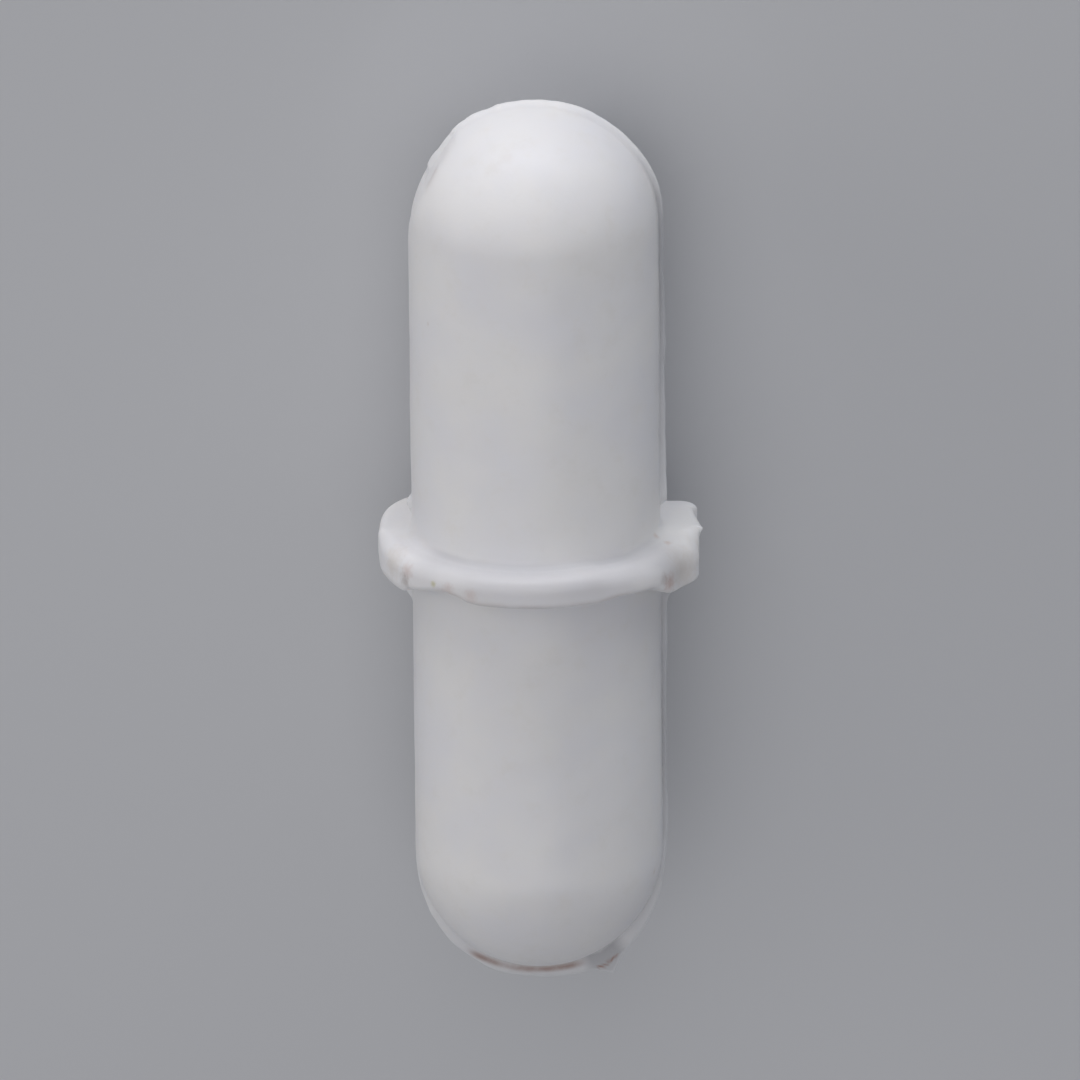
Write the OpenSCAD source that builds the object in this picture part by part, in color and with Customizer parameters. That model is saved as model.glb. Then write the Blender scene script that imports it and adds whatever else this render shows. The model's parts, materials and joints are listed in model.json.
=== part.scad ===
// Magnetic stir bar with a pivot ring: a bar magnet sealed in a white PTFE capsule.
// It lies as it comes to rest, on the rim of its pivot ring and on one of its round ends,
// the one that the ring sits further from. It is built upright, with that end on top and
// the mould's parting plane in y = 0, and laid down last.

/* [Body] */
// Overall length of the capsule, without its flash
body_length = 25.5; // [23:0.5:60]
// Diameter of the capsule
body_diameter = 7; // [6:0.1:12]

/* [Pivot ring] */
// How far the ring stands out from the body
ring_height = 0.97; // [0.7:0.01:2]
// Width of the ring along the body
ring_width = 1; // [1:0.05:3]
// Rounding of the ring's outer edges
ring_rounding = 0.45; // [0.1:0.05:0.45]
// Fillet where the ring runs into the body
ring_fillet = 0.15; // [0.1:0.05:0.5]
// How far the ring sits from mid-length, away from the resting end
ring_offset = 0.2; // [-0.2:0.05:1]

/* [Gate stub] */
// How far the squared stub of the mould's gate reaches below the parting plane
stub_depth = 2.3; // [1:0.1:3]
// How far it reaches above the parting plane
stub_reach = 1.2; // [0:0.1:1.6]
// Rounding of the stub's lower corner
stub_rounding = 0.45; // [0.2:0.05:0.8]
// How far it stands out beyond the ring
stub_proud = 0.12; // [0:0.02:0.4]
// Width of the stub along the body, from the ring's face on the side of the resting end
stub_width = 1.2; // [1:0.05:2]

/* [Magnet] */
// Thickness of the jacket round the magnet's side
side_wall = 1.25; // [0.8:0.05:2]
// Thickness of the jacket beyond the magnet's ends
end_wall = 2.5; // [2:0.1:5]
// Chamfer on the magnet's edges
magnet_chamfer = 0.3; // [0.1:0.05:0.6]
// Gap that the jacket leaves all round the magnet
magnet_clearance = 0.04; // [0.02:0.01:0.1]

/* [Mould flash] */
// Thickness of the film of flash in the parting plane
flash_thickness = 0.12; // [0.08:0.02:0.3]
// Height of the film along the right side and at the tip of the resting end
side_flash = 0.19; // [0.05:0.01:0.4]
// Height of the film at the tip of the raised end
end_flash = 0.55; // [0.05:0.01:0.6]
// Height of the spur of torn flash on the raised end
spur_height = 1; // [0.6:0.02:1.2]
// Width of the spur at its foot
spur_width = 0.64; // [0.4:0.04:1]

/* [Hidden] */
$fn = 96;
body_radius = body_diameter / 2;
// Half the straight stretch between the two round ends
half_straight = body_length / 2 - body_radius;
ring_radius = body_radius + ring_height;

magnet_radius = body_radius - side_wall - magnet_clearance;
half_magnet = body_length / 2 - end_wall - magnet_clearance;

// The floor touches the resting end's ball and the ring's rounded edge on that side, so the
// tilt is that of the common tangent of those two arcs.
ring_edge_radius = ring_radius - ring_rounding;
ring_edge_place = ring_width / 2 - ring_rounding - ring_offset;
contact_span = half_straight - ring_edge_place;
rest_tilt = atan2(ring_edge_radius, contact_span)
    - asin((body_radius - ring_rounding) / norm([contact_span, ring_edge_radius]));
rest_height = body_radius + half_straight * sin(rest_tilt);

// How far flash, ring and stub reach into the body, so that they join it
root = 0.5;

// Length of the outline's arc over a quarter of a round end
quarter_arc = body_radius * PI / 2;
// How far below the surface the film starts and ends
sunk = 0.05;
// Heights of the film at ways along the outline, between which it changes evenly. It rises from
// the raised end's left shoulder and is torn off short of the resting end's left shoulder.
film_heights = [
    [way_to(-1.93), -sunk],
    [way_to(-1.5), 0.65 * end_flash],
    [way_to(-1.2), 0.95 * end_flash],
    [way_to(-0.8), 1.1 * end_flash],
    [way_to(-0.5), 0.9 * end_flash],
    [way_to(-0.25), side_flash],
    [way_to(-0.1), 0.7 * side_flash],
    [0, side_flash],
    [way_to(0.6), 1.5 * side_flash],
    [way_to(0.9), side_flash],
    [way_to(1.4), 0.6 * side_flash],
    [way_to(1.44), -sunk]
];
// Place of the spur
spur_way = way_to(-0.7);
// Spacing of the points along the film's torn edge
torn_step = 0.3;
// Depths of the two waves of the torn edge, as shares of the film's height, and the degrees
// that each wave turns through in a millimetre
ragged_depths = [0.12, 0.09];
ragged_turns = [260, 610];

// Way along the outline, from mid-length on the right side, to a place on an end in quarter
// arcs past its right shoulder: 1 is the end's tip and 2 its left shoulder. Ways and places
// are positive towards the resting end and negative towards the raised one.
function way_to(quarters) = sign(quarters) * half_straight + quarters * quarter_arc;

// Point of the outline in the parting plane at a way along it, raised by a height
function outline(way, height) =
    let (past = abs(way) - half_straight)
    let (turn = past / body_radius * 180 / PI)
    past < 0
        ? [body_radius + height, way]
        : [
            (body_radius + height) * cos(turn),
            sign(way) * (half_straight + (body_radius + height) * sin(turn))
        ];

// Height of the torn edge as a share of the film's height
function ragged(way) = 1
    - ragged_depths[0] * sin(way * ragged_turns[0])
    - ragged_depths[1] * sin(way * ragged_turns[1]);

module in_parting_plane() {
    rotate([90, 0, 0])
        linear_extrude(flash_thickness, center = true)
            children();
}

module film() {
    from = film_heights[0].x;
    to = film_heights[len(film_heights) - 1].x;
    edge = [
        for (way = [from : torn_step : to])
            outline(way, lookup(way, film_heights) * ragged(way))
    ];
    foot = [for (way = [to : -torn_step : from]) outline(way, -root)];
    in_parting_plane()
        polygon(concat(edge, foot));
}

// A torn flake that stands off the film
module spur() {
    half_width = spur_width / 2;
    in_parting_plane()
        polygon([
            outline(spur_way - half_width, -root),
            outline(spur_way - half_width, end_flash),
            outline(spur_way, spur_height),
            outline(spur_way + half_width / 2, spur_height * 2 / 3),
            outline(spur_way + half_width, -root)
        ]);
}

// Half of the ring's section, with its rounded outer edge and the fillet at its foot
module ring_half_section() {
    half_width = ring_width / 2;
    translate([body_radius - root, 0])
        square([ring_height + root - ring_rounding, half_width]);
    translate([body_radius - root, 0])
        square([ring_height + root, half_width - ring_rounding]);
    translate([ring_radius - ring_rounding, half_width - ring_rounding])
        circle(ring_rounding);
    difference() {
        translate([body_radius - root, 0])
            square([root + ring_fillet, half_width + ring_fillet]);
        translate([body_radius + ring_fillet, half_width + ring_fillet])
            circle(ring_fillet);
    }
}

module pivot_ring() {
    rotate_extrude() {
        ring_half_section();
        mirror([0, 1])
            ring_half_section();
    }
}

// The cut-off gate leaves the ring square on its right side
module gate_stub() {
    inner = body_radius - root;
    reach = ring_radius + stub_proud - inner;
    translate([inner, 0, ring_width / 2 - stub_width])
        linear_extrude(stub_width) {
            translate([0, -stub_reach])
                square([reach, stub_reach + stub_depth - stub_rounding]);
            square([reach - stub_rounding, stub_depth]);
            translate([reach - stub_rounding, stub_depth - stub_rounding])
                circle(stub_rounding);
        }
}

module capsule() {
    cylinder(h = 2 * half_straight, r = body_radius, center = true);
    for (end = [-1, 1])
        translate([0, 0, end * half_straight])
            sphere(body_radius);
}

module magnet_form(gap) {
    r = magnet_radius + gap;
    h = half_magnet + gap;
    rotate_extrude()
        polygon([
            [0, -h],
            [r - magnet_chamfer, -h],
            [r, -h + magnet_chamfer],
            [r, h - magnet_chamfer],
            [r - magnet_chamfer, h],
            [0, h]
        ]);
}

// Lays the upright bar down, with its top end along +Y and its parting plane level but for the tilt
module at_rest() {
    translate([0, 0, rest_height])
        rotate([-90 - rest_tilt, 0, 0])
            children();
}

module jacket() {
    color("whitesmoke")
        at_rest()
            difference() {
                union() {
                    capsule();
                    translate([0, 0, -ring_offset]) {
                        pivot_ring();
                        gate_stub();
                    }
                    film();
                    spur();
                }
                magnet_form(magnet_clearance);
            }
}

module magnet() {
    color("dimgray")
        at_rest()
            magnet_form(0);
}

jacket();
magnet();
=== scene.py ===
"""The looks of a magnetic stir bar: its moulded PTFE jacket, with pivot ring, gate stub and flash.

The jacket's skin is worked out in the bar's own frame, in millimetres, and laid down last. There
+Z runs along the bar to the end that rests on the floor, +X points to the side of the gate stub,
and the mould's parting plane is y = 0, with the front at -Y. Turns are measured in that frame
from the right (+X) round to the front. A way runs along the outline in the parting plane, from
mid-length on the right, and is positive towards the resting end. A place is a way on a round
end, in quarter arcs past its right shoulder: 1 is the end's tip and 2 its left shoulder. Places
on the raised end are negative.
"""
import json
import math

import bpy
import numpy as np
from mathutils import Matrix, Vector


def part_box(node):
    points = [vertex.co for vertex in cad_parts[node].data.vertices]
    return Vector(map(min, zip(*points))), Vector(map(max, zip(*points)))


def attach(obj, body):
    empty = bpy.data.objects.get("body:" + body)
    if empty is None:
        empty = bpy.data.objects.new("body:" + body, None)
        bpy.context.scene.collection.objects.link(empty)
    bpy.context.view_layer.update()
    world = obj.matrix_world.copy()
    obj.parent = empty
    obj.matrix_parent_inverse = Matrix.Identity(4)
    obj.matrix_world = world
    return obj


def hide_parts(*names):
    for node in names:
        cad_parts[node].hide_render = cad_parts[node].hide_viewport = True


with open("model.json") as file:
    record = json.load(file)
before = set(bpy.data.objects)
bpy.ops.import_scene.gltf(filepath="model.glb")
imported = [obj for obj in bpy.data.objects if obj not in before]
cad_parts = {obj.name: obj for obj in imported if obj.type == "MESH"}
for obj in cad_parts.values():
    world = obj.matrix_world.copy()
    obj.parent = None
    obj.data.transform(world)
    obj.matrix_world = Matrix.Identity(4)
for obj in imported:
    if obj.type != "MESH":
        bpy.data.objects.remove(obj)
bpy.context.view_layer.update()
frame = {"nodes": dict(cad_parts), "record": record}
MM = 0.001

# ---------------------------------------------------------------- sizes that the frame gives
shank = next(m for m in frame["record"]["mounts"] if m["name"] == "shank")
TILT = math.asin(shank["axis"][2])
shank_foot = shank["pos_m"][1] / MM / math.cos(TILT)
BODY_R = shank["dims"]["r_mm"]
HALF_STRAIGHT = shank["dims"]["length_mm"] - shank_foot
REST_HEIGHT = shank["pos_m"][2] / MM + shank_foot * math.sin(TILT)
RING_R = -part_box("jacket")[0].x / MM
QUARTER = BODY_R * math.pi / 2

# ---------------------------------------------------------------- sizes read from the object
RING_PLACE = -0.2         # along the bar from mid-length
RING_WIDTH = 1.0
RING_FILLET = 0.15        # at the ring's foot on the side of the raised end
SIDE_LEAN = 0.02          # by which the ring's sides lean inwards
SEAM_HEIGHT = 0.016       # of the witness line that the mould's seam leaves round the ring
SEAM_WIDTH = 0.05
STUB_DEPTH = 2.3          # of the gate stub behind the parting plane
STUB_REACH = 1.15         # of the stub in front of it
STUB_ROUNDING = 0.45
STUB_PROUD = 0.12         # by which the stub stands out beyond the ring
STUB_DRAFT = 0.07         # slope of the stub's face behind the parting plane
STUB_FADE = 13            # degrees over which the stub runs out into the ring in front
STUB_FADE_PAST = 9        # degrees of them beyond its reach
TOOTH_HEIGHT = 0.13       # of the small torn tooth on the stub
TOOTH_PLACE = 0.22        # along the bar from mid-length
TOOTH_HALF_WIDTH = 0.2
TOOTH_FOOT = 0.6          # its lowest height above the body
TOOTH_DEPTH = 0.95        # over which the tooth runs out behind the parting plane
FILM_HALF = 0.055         # half the thickness of the film of flash
WITNESS_HEIGHT = 0.014    # of the witness line where there is no film
WITNESS_WIDTH = 0.035
CUT_SOFTNESS = 0.07       # depth over which the cut on the left shoulder starts
REAR_FLATNESS = 0.035     # share by which the rear half of the resting end is flatter
REAR_DEPTH = 1.1          # behind the parting plane at which it is so in full
UNEVEN = [(0.009, 5.0, 41), (0.004, 1.6, 42)]    # height, length and seed of the skin's unevenness

# The jacket's pocket for the magnet
SIDE_WALL = 1.25
END_WALL = 2.5
POCKET_CHAMFER = 0.3

# Height of the film of flash at places on the raised end, at ways along the right side and at
# places on the resting end, as far as its torn end
RAISED_FILM = [
    (-1.95, 0), (-1.88, 0.04), (-1.8, 0.095), (-1.72, 0.165), (-1.64, 0.24), (-1.56, 0.295),
    (-1.48, 0.37), (-1.4, 0.415), (-1.32, 0.465), (-1.24, 0.53), (-1.16, 0.55), (-1.08, 0.535),
    (-1, 0.555), (-0.88, 0.59), (-0.8, 0.63), (-0.76, 0.66), (-0.735, 0.78), (-0.69, 1.0),
    (-0.665, 0.88), (-0.64, 0.75), (-0.61, 0.64), (-0.56, 0.545), (-0.48, 0.47), (-0.4, 0.4),
    (-0.32, 0.305), (-0.24, 0.23), (-0.16, 0.155), (-0.1, 0.12), (-0.02, 0.13),
]
SIDE_FILM = [
    (-9, 0.15), (-8.5, 0.185), (-7.5, 0.16), (-5.2, 0.15), (-3, 0.2), (-1.9, 0.2), (-1.6, 0.34),
    (-1.3, 0.34), (-0.7, 0.1), (0.35, 0), (0.93, 0), (0.98, 0.2), (1.1, 0.22), (2, 0.215), (3, 0.2),
    (5, 0.165), (5.5, 0.2), (6.3, 0.19), (7, 0.16), (7.5, 0.17), (8, 0.115), (8.5, 0.165),
    (9, 0.14),
]
RESTING_FILM = [
    (0.02, 0.16), (0.08, 0.18), (0.18, 0.21), (0.32, 0.2), (0.48, 0.17), (0.56, 0.16),
    (0.76, 0.165), (1, 0.14), (1.1, 0.13), (1.175, 0.145), (1.2, 0.1), (1.225, 0.09), (1.25, 0.11),
    (1.3, 0.13), (1.35, 0.1), (1.375, 0.11), (1.4, 0.09), (1.425, 0.07), (1.45, 0.01),
    (1.5, -0.03), (1.55, -0.07), (1.6, -0.05), (1.65, -0.08), (1.685, -0.2),
]
NO_FILM = -1
# Height of the flash on the left side, at distances along the bar from mid-length
LEFT_FLASH = [
    (-1.9, 0), (-1.8, 0.04), (-1.55, 0.2), (-1.4, 0.3), (-0.6, 0.3), (-0.3, 0), (0.8, 0),
    (0.95, 0.16), (1.1, 0.15), (1.2, 0.11), (1.27, 0),
]
# Depth of the cut that trimmed the flash off the resting end's left shoulder, at places
TRIMMED = [
    (1.4, 0), (1.45, 0.08), (1.55, 0.18), (1.67, 0.22), (1.725, 0.22), (1.8, 0.19), (1.85, 0.16),
    (1.9, 0.12), (1.95, 0.08), (2, 0.045), (2.1, 0),
]
# How much the film's foot widens at places on the ends, where it runs smoothly into the body
FILM_SWELL = [
    (-1.95, 0), (-1.8, 3), (-1.25, 2.6), (-1.1, 1.4), (-0.85, 1.2), (-0.78, 0.6), (-0.6, 0.6),
    (-0.5, 1), (-0.2, 0.8), (-0.02, 0), (0.1, 0), (0.4, 2.5), (1.1, 3.5), (1.38, 2.5), (1.45, 0),
]
# Height of the groove that parts the spur's flake from the film, at places
FLAKE_FOOT = [(-0.76, 0.6), (-0.742, 0.62), (-0.706, 0.655), (-0.663, 0.58), (-0.62, 0.54)]
# Stretches of the ends from place to place: the spur, the part of its groove painted dark as shadow,
# the parts of the film's groove on the raised end painted with brown dirt and shade, the face of the
# cut and its edge, painted a little darker
SPUR = (-0.795, -0.6)
FLAKE_GROOVE_SHADE = (-0.735, -0.635)
GROOVES_DIRT_AND_SHADE = [(-1.3, -1.24), (-1.12, -0.84)]
CUT_FACE = (1.5, 1.62)
CUT_EDGE = (1.62, 1.675)
# How grey the film is painted at places on the ends and at ways along the right side: painted shade
# that stands in for the dark ground seen through the thin film. It is greyest in the spur and where it
# is thin, on the right side
FILM_SHADE_ON_ENDS = [
    (-2, 0.05), (-1.5, 0.1), (-1.2, 0.3), (-0.8, 0.4), (-0.75, 0.85), (-0.62, 0.85), (-0.55, 0.35),
    (-0.3, 0.4), (-0.02, 0.55), (0.02, 0.95), (0.12, 0.8), (0.25, 0.4), (0.4, 0.15), (1.4, 0.05),
]
FILM_SHADE_ON_SIDE = [(-9, 0.7), (-6, 0.95), (-2, 0.7), (1.2, 0.3), (3, 0.55), (6, 0.85), (7.5, 1), (9, 1)]
# By turns round the ring, in degrees: its two thicker ears, the swelling at the rear left, and
# how deep its lower edge is worn at the front right, and worn and chipped at the front left
LEFT_EAR = (153, 180)
RIGHT_EAR = (-40, 30)
REAR_SWELL = -149
WORN_RIGHT = (40, 60)
WORN_RIGHT_DEPTH = 0.1
WORN_LEFT = [(112, 0), (116, 0.03), (120, 0.15), (127, 0.23), (132, 0.18), (142, 0.04), (146, 0.04)]


# ---------------------------------------------------------------- helpers on numbers
def smooth(t):
    """0 to 1 as t goes from 0 to 1, and level at both."""
    return t * t * (3 - 2 * t)


def hump(x, centre, half_width):
    """1 at the centre, falling smoothly to 0 at half_width from it."""
    t = np.clip(np.abs(x - centre) / half_width, 0, 1)
    return 0.5 + 0.5 * np.cos(math.pi * t)


def plateau(x, start, end, slope):
    """1 between start and end, with smooth slopes outside them."""
    t = np.clip(np.maximum(start - x, x - end) / slope, 0, 1)
    return 0.5 + 0.5 * np.cos(math.pi * t)


def read_off(x, table, outside=None):
    """Values at x in a table of (x, value). Beyond its ends they hold, unless outside is given."""
    places, values = zip(*table)
    return np.interp(x, places, values, left=outside, right=outside)


def wander(x, step, seed):
    """A smooth random line between about -1 and 1, with a new value every step."""
    count = 1024
    knots = np.random.default_rng(seed).uniform(-1, 1, count)
    t = np.asarray(x, float) / step + count / 2
    i = np.floor(t).astype(int)
    f = smooth(t - i)
    return knots[i] * (1 - f) + knots[i + 1] * f


def unevenness(points, length, seed, waves=14):
    """Smooth random heights between about -1 and 1 at points in space."""
    random = np.random.default_rng(seed)
    total = np.zeros(points.shape[:-1])
    for _ in range(waves):
        direction = random.normal(size=3)
        direction *= random.uniform(0.6, 1.5) * 2 * math.pi / length / np.linalg.norm(direction)
        total += np.sin(points @ direction + random.uniform(0, 2 * math.pi))
    return total / math.sqrt(waves)


# ---------------------------------------------------------------- ways along the outline
def way_to(place):
    """Way to a place on a round end."""
    return math.copysign(HALF_STRAIGHT, place) + place * QUARTER


def across_bar(way):
    """Way to the point of the outline that lies straight across the bar."""
    return np.copysign(2 * (HALF_STRAIGHT + QUARTER), way) - way


def on_left(way):
    """Whether a way ends on the left side, past an end's left shoulder."""
    return np.abs(way) > HALF_STRAIGHT + 2 * QUARTER


def stretch(way, places, slope):
    """1 between two places on an end, with smooth slopes outside them."""
    start, end = places
    return plateau(way, way_to(start), way_to(end), slope)


def along_film(way, table, side=(), outside=None):
    """Values of a table of places on the ends, joined with one of ways along the right side."""
    by_way = [(way_to(place), value) for place, value in table] + list(side)
    return read_off(way, sorted(by_way), outside)


# ---------------------------------------------------------------- the film of flash
# Columns of the half section from the rear pole (y = R) over the parting plane to the front pole:
# place across the film in half thicknesses, with the share of the film's height that each reaches
FILM_SECTION = [
    (0, 1), (0.45, 0.99), (0.8, 0.94), (0.96, 0.86), (1, 0.76), (1.01, 0.68), (1.02, 0.6),
    (1.03, 0.5), (1.05, 0.38), (1.08, 0.26), (1.14, 0.14), (1.3, 0.05), (1.6, 0.01), (2.1, 0),
]
FILM_FOOT = FILM_SECTION[-1][0]
ON_BODY = 9.0             # place across the film that marks a column of the body
BODY_STEP = 0.145         # between the body's columns
STUB_TURNS = (20, 36)     # degrees behind the right between which the columns are finer
STUB_COLUMNS = 22


def half_columns():
    """Arrays over the columns: turn from the right, place across the film, share of its height."""
    edge = math.asin(FILM_FOOT * FILM_HALF / BODY_R)
    count = round((math.pi / 2 - edge) * BODY_R / BODY_STEP)
    body = [edge + (math.pi / 2 - edge) * i / count for i in range(1, count + 1)]
    first, last = (math.radians(t) for t in STUB_TURNS)
    margin = 0.02
    rear = [t for t in body if not first - margin < t < last + margin]
    rear += list(np.linspace(first, last, STUB_COLUMNS))
    columns = [(-t, ON_BODY, 0) for t in sorted(rear, reverse=True)]
    columns += [(-w * FILM_HALF / BODY_R, -w, share) for w, share in reversed(FILM_SECTION[1:])]
    columns += [(w * FILM_HALF / BODY_R, w, share) for w, share in FILM_SECTION]
    columns += [(t, ON_BODY, 0) for t in body]
    if len(columns) % 2 == 0:
        # one more by the rear pole makes their number odd
        columns.insert(1, ((columns[0][0] + columns[1][0]) / 2, ON_BODY, 0))
    return tuple(np.array(values, float) for values in zip(*columns))


TURN, ACROSS, SHARE = half_columns()
LAST = len(TURN) - 1                     # index of the front pole
FULL = 2 * LAST                          # number of columns all the way round


def film_height(way):
    """Height of the film at ways along the outline, with its torn edge. Below 0 there is none."""
    height = along_film(way, RAISED_FILM + RESTING_FILM, SIDE_FILM, NO_FILM)
    height = np.where(on_left(way), read_off(across_bar(way), LEFT_FLASH, NO_FILM), height)
    ragged = 0.009 * wander(way, 0.23, 3) + 0.006 * wander(way, 0.61, 5)
    ragged += 0.008 * hump(way, 0, HALF_STRAIGHT) * wander(way, 1.7, 6)
    return np.where(height > 0.06, height + ragged, height)


def trimmed(way, y):
    """Depth of the knife cut at the resting end's left shoulder."""
    depth = along_film(way, TRIMMED, outside=0)
    depth = depth + np.where(depth > 0.03, 0.008 * wander(way, 0.2, 8), 0)
    cut = depth - y**2 / (2 * BODY_R)
    soft = CUT_SOFTNESS * np.exp(np.minimum(cut - CUT_SOFTNESS, 0) / CUT_SOFTNESS)
    return np.where(cut > CUT_SOFTNESS, cut, soft) * np.clip(depth / CUT_SOFTNESS, 0, 1)


def film_marks(way, y, share, height, cut):
    """Marks for the material: the film's painted shade, its rim of painted light, and brown dirt with
    painted shade, each from 0 to 1.
    """
    there = np.clip(height / 0.08, 0, 1)
    local = share * np.maximum(height, 0)
    front = y < 0.02
    # the left side's flash is as white as the body; elsewhere the film is painted grey as shade, and
    # the cut's face a little greyer, also as painted shade
    film = there * np.clip(share / 0.25, 0, 1) * along_film(way, FILM_SHADE_ON_ENDS, FILM_SHADE_ON_SIDE)
    film = np.where(on_left(way), 0, film)
    sliced = stretch(way, CUT_FACE, 0.6) * np.clip(cut / 0.12, 0, 1)
    film = np.maximum(film, 0.06 * sliced)
    # the rim is painted light, bright on the raised end, and faint elsewhere
    rim = there * np.clip((share - 0.86) / 0.1, 0, 1)
    rim = rim * np.where(way > -HALF_STRAIGHT, 0.15, 1)
    # brown dirt with painted shade in the groove between the film and the raised end, painted shadow
    # in the spur's groove, and a darker line along the cut's edge
    groove = sum(stretch(way, places, 0.5) for places in GROOVES_DIRT_AND_SHADE)
    dirt_and_shade = 0.9 * groove * hump(local, 0.3, 0.17) * there
    flake = stretch(way, FLAKE_GROOVE_SHADE, 0.06) * hump(local, along_film(way, FLAKE_FOOT), 0.07)
    edge = stretch(way, CUT_EDGE, 0.3) * hump(cut, CUT_SOFTNESS, CUT_SOFTNESS)
    dirt_and_shade = np.maximum(dirt_and_shade, np.maximum(1.5 * flake, 0.3 * edge)) * front
    return np.array([film, rim, dirt_and_shade])


def lifted(way, turn, across, share):
    """The skin at ways: its distance from the axis, or from an end's centre, measured along the
    parting plane, its y, and its marks."""
    height = film_height(way)
    half = FILM_HALF * (1 + 0.12 * wander(way, 0.9, 11))
    swell = along_film(way, FILM_SWELL) * ~on_left(way)
    # where there is no film, its columns spread evenly, and a fine witness line stays
    tall = np.clip(height / 0.07, 0, 1)
    spread = np.linspace(0, FILM_FOOT, len(FILM_SECTION))
    evenly = [(w, place) for (w, s), place in zip(FILM_SECTION, spread)]
    even = np.sign(across) * read_off(np.abs(across), evenly)
    place = tall * across * (1 + swell * (1 - share) ** 0.8) + (1 - tall) * even * (1 + swell)
    # the upper part of the spur is set back in front, behind a fine groove
    local = share * height
    foot = along_film(way, FLAKE_FOOT)
    set_back = np.maximum(0.6 * np.clip((local - foot) / 0.04, 0, 1), 0.9 * hump(local, foot, 0.05))
    set_back = set_back * stretch(way, SPUR, 0.05)
    place = np.where(place > 0, place * (1 - set_back), place)
    # the body's columns keep clear of the film's foot
    edge, wide = (np.arcsin(FILM_FOOT * half * k / BODY_R) for k in (1, 1 + swell))
    past_edge = (np.abs(turn) - edge) * (math.pi / 2 - wide) / (math.pi / 2 - edge)
    turn = np.sign(turn) * (wide + past_edge)
    y = -np.where(np.abs(across) < ON_BODY, place * half, BODY_R * np.sin(turn))
    # the film is a little wavy, and bends the more the taller it is
    bend = 0.03 * wander(way, 1.3, 21) * np.maximum(height, 0) * share
    cut = trimmed(way, y)
    lift = np.maximum(height + trimmed(way, 0), 0)
    witness = WITNESS_HEIGHT * np.exp(-((y / WITNESS_WIDTH) ** 2)) * (1 - tall)
    rho = np.sqrt(np.maximum(BODY_R**2 - y**2, 0)) - cut + share * lift + witness
    return rho, y - bend, film_marks(way, y, share, height, cut)


# ---------------------------------------------------------------- the pivot ring
def with_stub(outer, phi):
    """The ring's outer radius with the gate stub, which is square on the right, from its corner
    at the rear to a short reach in front."""
    side = RING_R + STUB_PROUD
    behind = np.radians(np.clip(-phi, 0.01, 90))
    lean = np.radians(np.clip(phi, -60, 60))
    face = side / (np.cos(lean) - STUB_DRAFT * np.minimum(np.sin(lean), 0))
    # radius to the corner's arc, and to the flat end beyond it
    centre_x, centre_y = side - STUB_ROUNDING, STUB_DEPTH - STUB_ROUNDING
    along = centre_x * np.cos(behind) + centre_y * np.sin(behind)
    off = centre_x**2 + centre_y**2 - along**2
    arc = along + np.sqrt(np.maximum(STUB_ROUNDING**2 - off, 0))
    end = STUB_DEPTH / np.sin(behind)
    arc_start = math.atan2(centre_y, side)
    arc_end = math.atan2(STUB_DEPTH, centre_x)
    stub = np.where(behind < arc_start, face, np.where(behind < arc_end, arc, end))
    # in front it runs out into the ring
    front_end = math.degrees(math.asin(STUB_REACH / RING_R)) + STUB_FADE_PAST
    share = 1 - plateau(phi, front_end, 90, STUB_FADE)
    stub = np.where(phi > 0, outer + (face - outer) * share, stub)
    rear_end = -math.degrees(math.atan2(STUB_DEPTH, side)) - 6
    # away from it, and where it lies within the ring, the ring's own radius holds
    near = (phi > rear_end) & (phi < front_end)
    return np.where(near, np.maximum(outer, stub), outer)


def ring_shape(phi):
    """The ring's section at turns phi, in degrees from the right, positive towards the front.

    It gives the places of the lower and upper edge, the outer radius, the rounding of each edge
    and the fillet at the upper one. The front half is a bead; the rear half, which the other half
    of the mould made, is squarer."""
    sine = np.sin(np.radians(phi))
    fore = smooth(np.clip(sine / 0.12, 0, 1))
    left_ear = plateau(np.abs(phi), *LEFT_EAR, 9)
    right_ear = plateau(phi, *RIGHT_EAR, 12)
    # the upper edge lies lower in front, with a dip and a rise at the front right
    upper = RING_PLACE + RING_WIDTH / 2 - 0.1 * np.clip(sine, 0, 1) + 0.012 * wander(phi, 23, 31)
    upper = upper - 0.06 * plateau(phi, 44, 60, 8) + 0.06 * hump(phi, 66, 30)
    # the lower edge reaches down at the ears
    lower = RING_PLACE - RING_WIDTH / 2 + 0.014 * wander(phi, 17, 32)
    lower = lower - 0.24 * left_ear - 0.27 * right_ear - 0.05 * hump(phi, 24, 12)
    outer = RING_R + 0.012 * wander(phi, 29, 33) - 0.012
    above = 0.18 + 0.24 * fore + 0.23 * fore * plateau(phi, 8, 46, 10)
    below = 0.3 - 0.16 * fore - 0.06 * right_ear + 0.2 * left_ear
    fillet = 0.14 + 0.08 * fore
    worn = read_off(phi, WORN_LEFT, 0)
    lower = lower + worn + WORN_RIGHT_DEPTH * plateau(phi, *WORN_RIGHT, 8)
    outer = with_stub(outer - 0.15 * worn + 0.24 * hump(phi, REAR_SWELL, 27), phi)
    # the two roundings never take up more than the ring's width
    fit = np.minimum(1, (upper - lower - 0.1) / (above + below))
    return lower, upper, outer, below * fit, above * fit, fillet


# Rows up one side of the ring, as (part, share of that part)
RING_ROWS = (
    [("fillet", s) for s in np.linspace(0, 1, 6)]
    + [("side", s) for s in np.linspace(0, 1, 7)[1:]]
    + [("rounding", s) for s in np.linspace(0, 1, 7)[1:]]
)
FACE_ROWS = 4


def ring_side(sign, edge, rounding, fillet, height):
    """Rows of (height above the body, z) up one side of the ring, above or below it by sign."""
    rows = []
    for part, s in RING_ROWS:
        a = math.pi / 2 * s
        if part == "fillet":
            h = fillet * (1 - math.cos(a))
            z = edge + sign * fillet * (1 - math.sin(a))
        elif part == "side":
            h = fillet + (height - rounding - fillet) * s
            z = edge - sign * SIDE_LEAN * s
        else:
            h = height - rounding + rounding * math.sin(a)
            z = edge - sign * (SIDE_LEAN + rounding * (1 - math.cos(a)))
        rows.append((h, z))
    return rows


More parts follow.
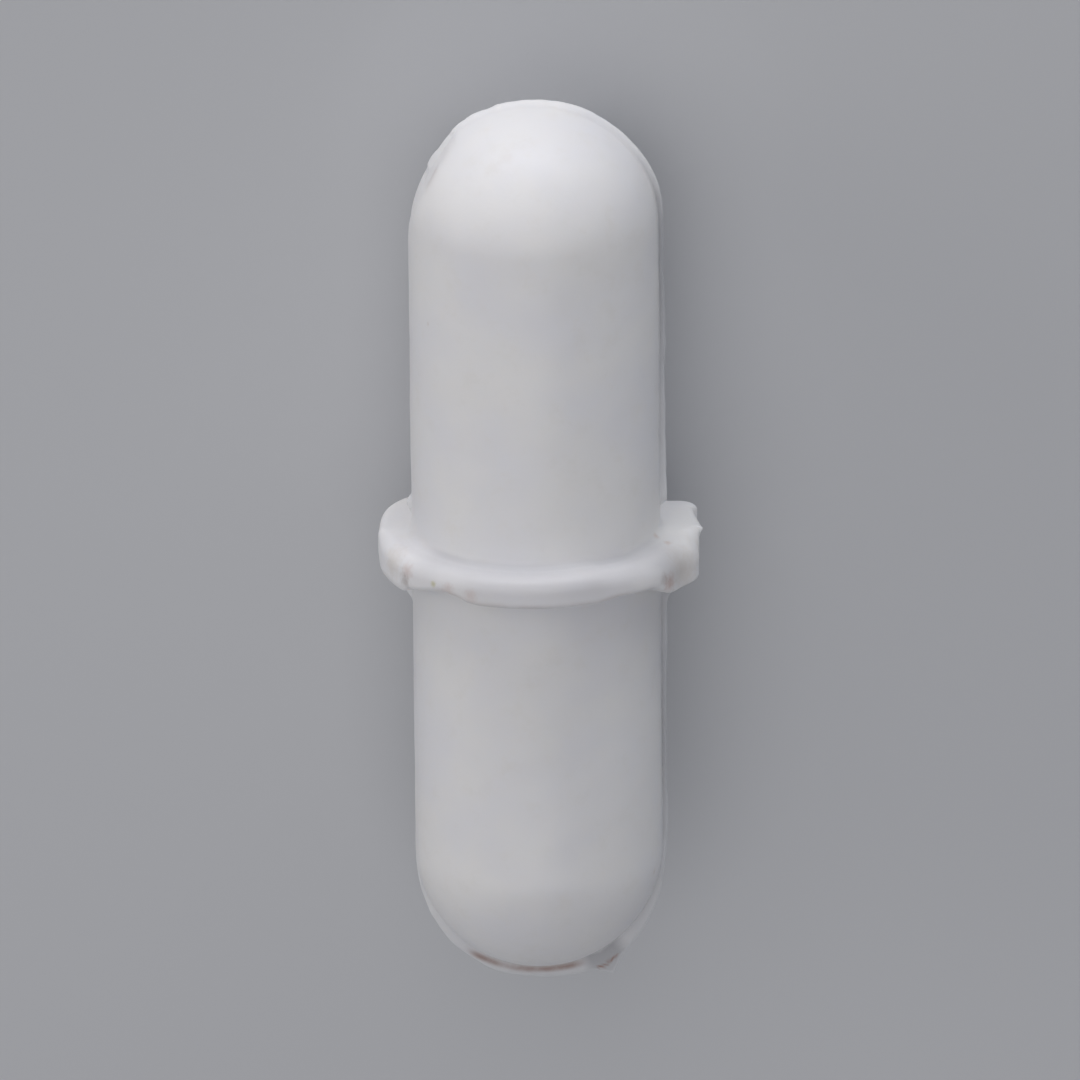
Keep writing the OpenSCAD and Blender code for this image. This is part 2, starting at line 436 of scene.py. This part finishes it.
def ring_rows(phi):
    """Rows of (height above the body, z) across the ring from its lower foot to its upper one."""
    lower, upper, outer, below, above, upper_fillet = ring_shape(phi)
    height = outer - BODY_R
    low = ring_side(-1, lower, below, np.full_like(phi, RING_FILLET), height)
    high = ring_side(1, upper, above, upper_fillet, height)
    (low_h, low_z), (high_h, high_z) = low[-1], high[-1]
    face = [
        (low_h + (high_h - low_h) * s, low_z + (high_z - low_z) * s)
        for s in np.linspace(0, 1, FACE_ROWS + 2)[1:-1]
    ]
    return low + face + high[::-1]


def ring_marks(h, z, phi, lower):
    """Marks of the ring: brown dirt with painted shade in a line along its lower edge, and painted
    shade on its front, darkest on its upper part.
    """
    # brown dirt and painted shade in a line along the lower edge
    line = np.exp(-(((z - lower - 0.1) / 0.08) ** 2)) * (h > 0.3) * plateau(phi, 62, 122, 16)
    # painted shade on the front, darkest on the bead's upper part, which tones down its highlight
    bead_shade = plateau(phi, 32, 130, 26) * (0.4 + 0.6 * np.clip((z - lower - 0.2) / 0.5, 0, 1))
    bead_shade = bead_shade * (0.75 + 0.25 * np.clip(h / 0.35, 0, 1))
    return 0.22 * line, bead_shade


# ---------------------------------------------------------------- the jacket's skin
ROW_STEP = 0.15           # between the rows of the straight stretch
RISE = 0.05               # height above the body at which a row is the ring's in full
OUTLINE_STEP = 0.09       # between the meridians of a round end
FINE_STEP = 0.045         # between them near the spur and the torn film
FINE_PLACES = {-1: [(0.56, 0.83)], 1: [(1.1, 1.3), (1.38, 1.5), (1.62, 1.74)]}
LAST_PLACE = 1.99         # of a meridian before the one at the left shoulder, 2
POCKET_SEGMENTS = 64
MARKS = ("film", "rim", "dirt_and_shade", "ring")


def round_columns():
    """The columns all the way round, from the rear pole on the right: side, turn, across, share."""
    index = np.arange(FULL)
    j = np.where(index <= LAST, index, FULL - index)
    side = np.where(index <= LAST, 1.0, -1.0)
    return side, TURN[j], ACROSS[j], SHARE[j]


def straight_skin():
    """Rows of points of the straight stretch with the ring, and their marks."""
    side, turn, across, share = round_columns()
    phi = np.degrees(turn)
    phi = np.where(side > 0, phi, 180 - phi)
    phi = np.where(phi > 180, phi - 360, phi)
    ring = ring_rows(phi)
    foot, top, lower = ring[0][1], ring[-1][1], ring_shape(phi)[0]
    shares = np.linspace(0, 1, round((HALF_STRAIGHT + RING_PLACE) / ROW_STEP))
    bare = np.zeros(FULL)
    levels = [(bare, -HALF_STRAIGHT + (foot + HALF_STRAIGHT) * s) for s in shares[:-1]] + ring
    levels += [(bare, top + (HALF_STRAIGHT - top) * s) for s in shares[1:]]
    # the ring's section is the body's, scaled up from the axis
    body_y = BODY_R * np.sin(turn)
    body_x = np.sqrt(np.maximum(BODY_R**2 - body_y**2, 0))
    seam = SEAM_HEIGHT * np.exp(-((body_y / SEAM_WIDTH) ** 2))
    ramp = np.maximum(share, np.clip(1 + body_y / TOOTH_DEPTH, 0, 1) * (turn < 0))
    rows, marks = [], []
    for h, z in levels:
        way = np.where(side > 0, z, across_bar(z))
        rho, y, mark = lifted(way, turn, across, share)
        # the ring rises through the film, which only shows where it is the higher of the two
        rise = np.clip(h / RISE, 0, 1)
        out = (BODY_R + h) / BODY_R
        tooth = TOOTH_HEIGHT * hump(z, TOOTH_PLACE, TOOTH_HALF_WIDTH) * ramp
        tooth = tooth * (side > 0) * (h > TOOTH_FOOT)
        over = share * np.maximum(np.maximum(film_height(way), 0) - h, 0) + tooth
        x = side * (rho * (1 - rise) + (body_x * out + over + seam) * rise)
        y = y * (1 - rise) - body_y * out * rise
        rows.append(np.stack([x, y, z], axis=1))
        # the ring's marks: brown dirt with painted shade along its lower edge, and painted shade on
        # its front
        line, bead_shade = ring_marks(h, z, phi, lower)
        mark = mark * (1 - rise)
        mark[2] = np.maximum(mark[2], line)
        marks.append(np.vstack([mark, rise * bead_shade]))
    return np.array(rows), np.array(marks)


def dome_ways(end):
    """Ways of a round end's meridians, closer together round the spur and the torn film."""
    place, places = 0.0, []
    while place <= LAST_PLACE:
        places.append(place)
        fine = any(start <= place <= stop for start, stop in FINE_PLACES[end])
        place += (FINE_STEP if fine else OUTLINE_STEP) / QUARTER
    return [end * (HALF_STRAIGHT + p * QUARTER) for p in places + [2.0]]


def dome_skin(end):
    """Meridians of points of a round end, 1 for the resting and -1 for the raised, and marks."""
    points, marks = [], []
    for way in dome_ways(end):
        angle = (abs(way) - HALF_STRAIGHT) / BODY_R
        rho, y, mark = lifted(np.full(LAST + 1, way), TURN, ACROSS, SHARE)
        flat = REAR_FLATNESS * (end > 0) * np.clip(y / REAR_DEPTH, 0, 1)
        z = end * (HALF_STRAIGHT + rho * math.sin(angle) * (1 - flat))
        points.append(np.stack([rho * math.cos(angle), y, z], axis=1))
        marks.append(np.vstack([mark, np.zeros(LAST + 1)]))
    return np.array(points), np.array(marks)


def grid_faces(index, outward=True):
    """Quads of a grid of vertex numbers, as lists without repeats."""
    a, b = index[:-1, :-1].ravel(), index[1:, :-1].ravel()
    c, d = index[1:, 1:].ravel(), index[:-1, 1:].ravel()
    quads = np.stack([a, b, c, d] if outward else [a, d, c, b], axis=1)
    faces = []
    for quad in quads.tolist():
        corners = list(dict.fromkeys(quad))
        if len(corners) > 2:
            faces.append(corners)
    return faces


def flat_marks(marks):
    """Marks of a grid of points as one row for each point."""
    return marks.transpose(0, 2, 1).reshape(-1, len(MARKS))


def skin_mesh():
    """Points in the bar's frame, faces, and the marks at each point."""
    rows, row_marks = straight_skin()
    count = len(rows)
    points, marks = [rows.reshape(-1, 3)], [flat_marks(row_marks)]
    index = np.arange(count * FULL).reshape(count, FULL)
    faces = grid_faces(np.hstack([index, index[:, :1]]))
    total = count * FULL
    # each dome shares its rim with the last row on its side
    for end, row in ((1, count - 1), (-1, 0)):
        dome, dome_marks = dome_skin(end)
        inner = dome[1:-1, 1:-1]
        number = np.zeros(dome.shape[:2], int)
        number[1:-1, 1:-1] = total + np.arange(inner[..., 0].size).reshape(inner.shape[:2])
        number[0] = index[row, : LAST + 1]
        number[-1] = index[row, (FULL - np.arange(LAST + 1)) % FULL]
        number[:, 0] = index[row, 0]
        number[:, -1] = index[row, LAST]
        faces += grid_faces(number, end > 0)
        points.append(inner.reshape(-1, 3))
        marks.append(flat_marks(dome_marks[1:-1, :, 1:-1]))
        total += inner[..., 0].size
    return np.concatenate(points), faces, np.concatenate(marks)


def pocket_mesh(first):
    """The pocket's wall, facing inwards, with vertex numbers that start at first."""
    r, half = BODY_R - SIDE_WALL, HALF_STRAIGHT + BODY_R - END_WALL
    profile = [
        (r - POCKET_CHAMFER, -half), (r, -half + POCKET_CHAMFER),
        (r, half - POCKET_CHAMFER), (r - POCKET_CHAMFER, half),
    ]
    n = POCKET_SEGMENTS
    angles = [2 * math.pi * i / n for i in range(n)]
    points = [(radius * math.cos(a), radius * math.sin(a), z) for radius, z in profile for a in angles]
    faces = []
    for k in range(len(profile) - 1):
        for i in range(n):
            here, after = first + k * n + i, first + k * n + (i + 1) % n
            faces.append([here, here + n, after + n, after])
    faces.append([first + i for i in range(n)])
    faces.append([first + (len(profile) - 1) * n + i for i in reversed(range(n))])
    return np.array(points), faces


def in_row_frame(points):
    """Points of the bar's own frame, in millimetres, laid down in the row frame, in metres."""
    x, y, z = points[:, 0], points[:, 1], points[:, 2]
    cos, sin = math.cos(TILT), math.sin(TILT)
    height = np.maximum(REST_HEIGHT - y * cos - z * sin, 0)
    return np.stack([x, -y * sin + z * cos, height], axis=1) * MM


def add_object(name, data):
    """A new object in the scene."""
    new = bpy.data.objects.new(name, data)
    bpy.context.scene.collection.objects.link(new)
    return new


def build_skin():
    """The jacket: its slightly uneven skin, closed round the pocket."""
    points, faces, marks = skin_mesh()
    length = np.linalg.norm(points[:, :2], axis=1, keepdims=True)
    outward = np.hstack([points[:, :2] / np.maximum(length, 1e-6), np.zeros((len(points), 1))])
    uneven = sum(height * unevenness(points, span, seed) for height, span, seed in UNEVEN)
    # it fades out close to the axis, where outward has no direction
    points = points + outward * uneven[:, None] * np.clip(length / 1.5, 0, 1)
    pocket, pocket_faces = pocket_mesh(len(points))
    mesh = bpy.data.meshes.new("jacket_skin")
    mesh.from_pydata(in_row_frame(np.vstack([points, pocket])).tolist(), [], faces + pocket_faces)
    mesh.update()
    mesh.shade_smooth()
    for name, values in zip(MARKS, marks.T):
        values = np.pad(values, (0, len(pocket)))
        mesh.attributes.new(name, "FLOAT", "POINT").data.foreach_set("value", values)
    return add_object("jacket_skin", mesh)


skin = build_skin()


# ---------------------------------------------------------------- materials
class Nodes:
    """Short calls for the nodes of one material."""

    def __init__(self, name):
        self.material = bpy.data.materials.new(name)
        self.material.use_nodes = True
        self.tree = self.material.node_tree
        self.shader = self.tree.nodes["Principled BSDF"]

    def put(self, socket, value):
        if isinstance(value, bpy.types.NodeSocket):
            self.tree.links.new(value, socket)
        else:
            socket.default_value = value

    def node(self, kind, inputs=(), **settings):
        node = self.tree.nodes.new(kind)
        for key, value in settings.items():
            setattr(node, key, value)
        for key, value in dict(inputs).items():
            self.put(node.inputs[key], value)
        return node

    def math(self, operation, a, b=0.0, c=0.0):
        return self.node("ShaderNodeMath", {0: a, 1: b, 2: c}, operation=operation).outputs[0]

    def span(self, value, low, high, start=0.0, end=1.0):
        """value from low to high becomes start to end, and stays there beyond them."""
        node = self.node(
            "ShaderNodeMapRange",
            {0: value, 1: low, 2: high, 3: start, 4: end},
            interpolation_type="SMOOTHSTEP",
        )
        return node.outputs[0]

    def noise(self, place, scale, detail=4.0, roughness=0.55):
        node = self.node(
            "ShaderNodeTexNoise",
            {"Vector": place, "Scale": scale, "Detail": detail, "Roughness": roughness},
        )
        return node.outputs["Fac"]

    def mix(self, factor, a, b):
        """Colour a where factor is 0 and b where it is 1, by the node's sockets for colours."""
        node = self.node("ShaderNodeMix", {"Factor": factor, 6: a, 7: b}, data_type="RGBA")
        return node.outputs[2]

    def bump(self, height, strength, distance):
        """Bump on the shader's surface, with its distance in millimetres."""
        inputs = {"Height": height, "Strength": strength, "Distance": distance * MM}
        node = self.node("ShaderNodeBump", inputs)
        self.put(self.shader.inputs["Normal"], node.outputs[0])


def bar_place(nodes):
    """The bar's own frame, in millimetres."""
    return nodes.node(
        "ShaderNodeMapping",
        {
            "Vector": nodes.node("ShaderNodeTexCoord").outputs["Object"],
            "Location": (0, 0, REST_HEIGHT * MM),
            "Rotation": (-math.pi / 2 - TILT, 0, 0),
            "Scale": (MM, MM, MM),
        },
        vector_type="TEXTURE",
    ).outputs[0]


# The jacket's two whites, its mottle, and the colours that its marks turn it to
WHITES = ((0.80, 0.80, 0.82, 1), (0.83, 0.825, 0.82, 1))
MOTTLE = (0.77, 0.755, 0.73, 1)
# painted shade for the ring's front and for the film, painted light for the film's rim, and brown dirt
# with painted shade
RING_SHADE_GREY = (0.55, 0.55, 0.57, 1)
FILM_SHADE_GREY = (0.27, 0.28, 0.31, 1)
RIM_PAINTED_LIGHT = (0.72, 0.73, 0.76, 1)
BROWN_DIRT_AND_SHADE = (0.28, 0.17, 0.14, 1)
ALLOY_GREYS = ((0.22, 0.22, 0.23, 1), (0.36, 0.36, 0.37, 1))
# Stains, and patches of painted shade, as (place in the bar's frame, radius in mm, strength, colour)
BROWN = (0.15, 0.09, 0.06, 1)
RUST = (0.42, 0.22, 0.10, 1)
BEIGE = (0.54, 0.47, 0.38, 1)
ROSE = (0.42, 0.25, 0.20, 1)
OLIVE = (0.42, 0.40, 0.14, 1)
STAINS_AND_SHADE_PATCHES = [
    ((-3.69, -2.49, -0.44), 0.32, 0.4, BROWN),
    ((-3.62, -2.57, -0.12), 0.34, 0.3, ROSE),
    # beige stain with painted shade on the lower front of the left ear
    ((-4.03, -1.78, -0.10), 0.80, 0.3, BEIGE),
    ((-2.90, -3.36, -0.25), 0.14, 0.5, OLIVE),
    ((-2.48, -3.67, -0.30), 0.30, 0.25, ROSE),
    ((-1.86, -4.04, -0.38), 0.30, 0.25, ROSE),
    ((3.60, -2.60, -0.44), 0.28, 0.22, BROWN),
    ((3.74, -2.36, -0.62), 0.40, 0.5, ROSE),
    # beige stain with painted shade on the lower front of the right ear
    ((4.10, -1.70, -0.50), 1.00, 0.3, BEIGE),
    ((3.72, -1.35, 0.22), 0.18, 0.25, RUST),
    ((3.39, -1.08, 0.34), 0.18, 0.25, RUST),
    ((-2.96, -1.87, 6.93), 0.09, 0.25, BEIGE),
    ((3.26, -1.18, -9.72), 0.14, 0.3, BEIGE),
    # two faint patches of painted shade for a shallow dent on the resting end, left of its tip
    ((-1.12, -2.32, 11.61), 0.35, 0.1, BEIGE),
    ((-0.73, -2.18, 11.88), 0.35, 0.1, BEIGE),
]


def marked(nodes, place, colour):
    """The colour with what the skin's marks turn it to: painted shade on the ring's front and the
    film, painted light at the film's rim, and brown dirt with painted shade.
    """
    film, rim, dirt_and_shade, ring = (
        nodes.node("ShaderNodeAttribute", attribute_name=name).outputs["Fac"] for name in MARKS
    )
    colour = nodes.mix(nodes.math("MULTIPLY", ring, 0.8), colour, RING_SHADE_GREY)
    colour = nodes.mix(nodes.math("MULTIPLY", film, 0.85), colour, FILM_SHADE_GREY)
    colour = nodes.mix(nodes.math("MULTIPLY", rim, 0.5), colour, RIM_PAINTED_LIGHT)
    patches = nodes.span(nodes.noise(place, 1.7, 4.0), 0.3, 0.6, 0.4, 0.85)
    return nodes.mix(nodes.math("MULTIPLY", dirt_and_shade, patches), colour, BROWN_DIRT_AND_SHADE)


def stained_and_shaded(nodes, place, colour):
    """The colour with the stains and the patches of painted shade, whose edges a speckle breaks up."""
    speckle = nodes.noise(place, 6.0, 4.0, 0.65)
    for spot, radius, strength, tint in STAINS_AND_SHADE_PATCHES:
        distance = nodes.node(
            "ShaderNodeVectorMath", {0: place, 1: spot}, operation="DISTANCE"
        ).outputs["Value"]
        # a speckle of 0.5 leaves the distance as it is
        shifted = nodes.math("ADD", distance, 0.6 * radius)
        torn = nodes.math("MULTIPLY_ADD", speckle, -1.2 * radius, shifted)
        colour = nodes.mix(nodes.span(torn, radius, 0, 0, strength), colour, tint)
    return colour


def ptfe():
    """Satin, slightly translucent white with a faint mottle, the film's marks and stains, painted
    shade and painted light among them.
    """
    nodes = Nodes("ptfe")
    place = bar_place(nodes)
    cloud = nodes.noise(place, 0.35, 2.0)
    colour = nodes.mix(nodes.span(cloud, 0.3, 0.7), *WHITES)
    mottle = nodes.span(nodes.noise(place, 1.3, 5.0, 0.65), 0.5, 0.75, 0, 0.35)
    colour = nodes.mix(mottle, colour, MOTTLE)
    colour = stained_and_shaded(nodes, place, marked(nodes, place, colour))
    fine = nodes.noise(place, 9.0, 5.0, 0.6)
    shader = nodes.shader
    nodes.put(shader.inputs["Base Color"], colour)
    nodes.put(shader.inputs["Roughness"], nodes.span(fine, 0.3, 0.7, 0.34, 0.5))
    shader.inputs["IOR"].default_value = 1.36
    shader.inputs["Subsurface Weight"].default_value = 0.85
    shader.inputs["Subsurface Radius"].default_value = (1.0, 0.95, 0.9)
    shader.inputs["Subsurface Scale"].default_value = 0.8 * MM
    nodes.bump(nodes.math("MULTIPLY_ADD", fine, 0.35, nodes.noise(place, 2.2, 3.0)), 0.25, 0.02)
    return nodes.material


def magnet_alloy():
    """Bare cast alloy, dull grey."""
    nodes = Nodes("magnet_alloy")
    grain = nodes.noise(bar_place(nodes), 3.0, 6.0, 0.6)
    nodes.put(nodes.shader.inputs["Base Color"], nodes.mix(grain, *ALLOY_GREYS))
    nodes.put(nodes.shader.inputs["Roughness"], nodes.span(grain, 0.2, 0.8, 0.35, 0.6))
    nodes.shader.inputs["Metallic"].default_value = 1.0
    nodes.bump(grain, 0.3, 0.03)
    return nodes.material


skin.data.materials.append(ptfe())
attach(skin, "root")
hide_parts("jacket")
for slot in frame["nodes"]["magnet"].material_slots:
    slot.material = magnet_alloy()


# ---------------------------------------------------------------- floor, light and camera
FLOOR_HALF = 0.6
FLOOR_GREYS = ((0.60, 0.61, 0.63, 1), (0.63, 0.64, 0.66, 1))
WORLD_COLOUR = (0.96, 0.98, 1.06, 1)
WORLD_STRENGTH = 0.23
# Lights that face the bar, as (name, place, width and height in metres, watts, colour)
LIGHTS = [
    ("key", (-0.06, 0.43, 0.022), (0.50, 0.04), 0.87, (1.0, 0.98, 1.0)),
    ("upper", (-0.08, 0.28, 0.30), (0.35, 0.35), 0.20, (1.0, 0.98, 0.98)),
    ("over", (-0.05, -0.06, 0.42), (0.45, 0.45), 0.40, (1.0, 0.98, 0.97)),
    ("left", (-0.40, 0.10, 0.12), (0.35, 0.20), 0.23, (1.0, 0.97, 0.92)),
    ("right", (0.17, 0.41, 0.045), (0.30, 0.10), 0.32, (0.93, 0.97, 1.0)),
]


def make_floor():
    """A plain pale floor."""
    corners = [(-1, -1), (1, -1), (1, 1), (-1, 1)]
    mesh = bpy.data.meshes.new("floor")
    mesh.from_pydata([(x * FLOOR_HALF, y * FLOOR_HALF, 0) for x, y in corners], [], [(0, 1, 2, 3)])
    floor = add_object("floor", mesh)
    nodes = Nodes("floor")
    place = nodes.node("ShaderNodeTexCoord").outputs["Object"]
    colour = nodes.mix(nodes.noise(place, 14.0, 2.0), *FLOOR_GREYS)
    nodes.put(nodes.shader.inputs["Base Color"], colour)
    nodes.shader.inputs["Roughness"].default_value = 0.85
    mesh.materials.append(nodes.material)


def make_lights():
    """Soft studio lights, aimed at the floor below the bar's middle, and an even sky."""
    for name, place, (width, height), power, colour in LIGHTS:
        data = bpy.data.lights.new(name, "AREA")
        data.shape = "ELLIPSE"
        data.size = width
        data.size_y = height
        data.energy = power
        data.color = colour
        light = add_object(name, data)
        light.location = place
        light.rotation_mode = "QUATERNION"
        light.rotation_quaternion = (-Vector(place)).to_track_quat("-Z", "Y")
    world = bpy.data.worlds.new("studio")
    world.use_nodes = True
    background = world.node_tree.nodes["Background"]
    background.inputs["Color"].default_value = WORLD_COLOUR
    background.inputs["Strength"].default_value = WORLD_STRENGTH
    bpy.context.scene.world = world
    bpy.context.scene.view_settings.view_transform = "Standard"


# How the camera sees the bar, in millimetres and degrees
VIEW_RISE = 18.7           # from the normal of the parting plane towards the resting end
VIEW_LEAN = 0.56           # by which the bar leans to the left
VIEW_DISTANCE = 355.0
VIEW_SHIFT = (0.1143, -0.1075)  # of the camera from the bar's middle, to the right and upwards
PIXELS_PER_MM = 35.34      # at the bar's middle, in an image of this many pixels:
IMAGE_PIXELS = 1080
SENSOR_WIDTH = 36.0


def make_camera():
    """A camera that looks down on the bar."""
    data = bpy.data.cameras.new("camera")
    data.sensor_width = SENSOR_WIDTH
    data.lens = SENSOR_WIDTH * PIXELS_PER_MM * VIEW_DISTANCE / IMAGE_PIXELS
    data.clip_start = 0.01
    data.clip_end = 10.0
    camera = add_object("camera", data)
    rise = math.radians(VIEW_RISE) + TILT
    back = Vector((0, math.sin(rise), math.cos(rise)))
    level = Vector((1, 0, 0))
    up = back.cross(level)
    lean = math.radians(VIEW_LEAN)
    across = level * math.cos(lean) - up * math.sin(lean)
    upward = up * math.cos(lean) + level * math.sin(lean)
    middle = Vector((0, 0, REST_HEIGHT))
    place = middle + back * VIEW_DISTANCE + across * VIEW_SHIFT[0] + upward * VIEW_SHIFT[1]
    turned = Matrix((across, upward, back)).transposed().to_4x4()
    camera.matrix_world = Matrix.Translation(place * MM) @ turned
    bpy.context.scene.camera = camera


make_floor()
make_lights()
make_camera()
